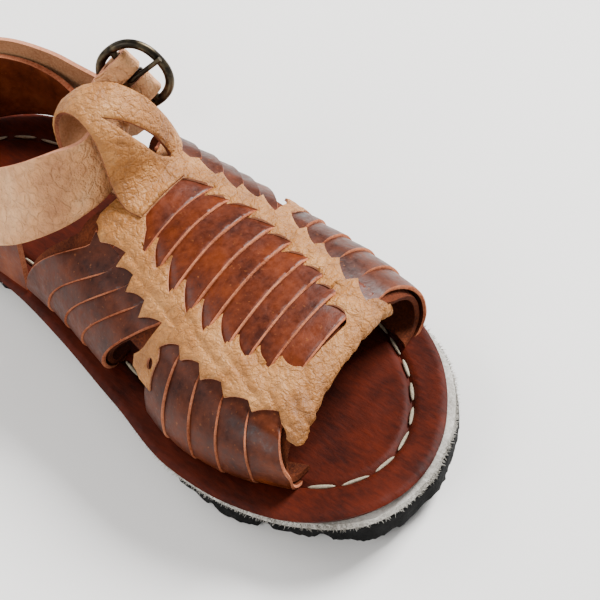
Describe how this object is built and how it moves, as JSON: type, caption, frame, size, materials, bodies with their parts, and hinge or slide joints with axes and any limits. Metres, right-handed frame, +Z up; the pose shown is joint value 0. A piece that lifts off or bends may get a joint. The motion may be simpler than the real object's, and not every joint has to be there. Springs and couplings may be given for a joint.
{
  "type": "huarache sandal",
  "caption": "Open-toe woven leather sandal on a lugged rubber sole, with a keeper loop at the throat, a closed heel counter and a buckled ankle strap.",
  "frame": {"origin": "on the floor, under the middle of the shoe's outline", "axes": "+Z up, the toe points to -Y and the heel to +Y, +X is the lateral (outer) side of a left foot"},
  "size_m": [0.0786, 0.1841, 0.0768],
  "materials": {
    "sole_rubber": "rough, cut edges",
    "fibre_midsole": "fuzzy pressed fibre",
    "insole_leather": "brushed, smoother at the heel",
    "tan_leather": "satin, pebbled grain",
    "brown_leather": "satin",
    "strap_leather": "satin, strongly pebbled grain",
    "buckle_metal": "antiqued, dark"
  },
  "bodies": {
    "shoe": {"outsole": "sole_rubber", "midsole": "fibre_midsole", "insole": "insole_leather", "upper": "tan_leather", "heel_counter": "brown_leather", "ankle_strap": "strap_leather"},
    "buckle_frame": {"buckle_frame": "buckle_metal"},
    "buckle_prong": {"buckle_prong": "buckle_metal"}
  },
  "joints": [
    {"name": "frame_hinge", "type": "hinge", "parent": "shoe", "child": "buckle_frame", "pos_m": [0.013, 0.0124, 0.0672], "axis": [0.2583, -0.5656, -0.7832], "range_deg": [0, 55]},
    {"name": "prong_hinge", "type": "hinge", "parent": "buckle_frame", "child": "buckle_prong", "pos_m": [0.013, 0.0124, 0.0672], "axis": [0.2583, -0.5656, -0.7832], "range_deg": [0, 50]}
  ]
}
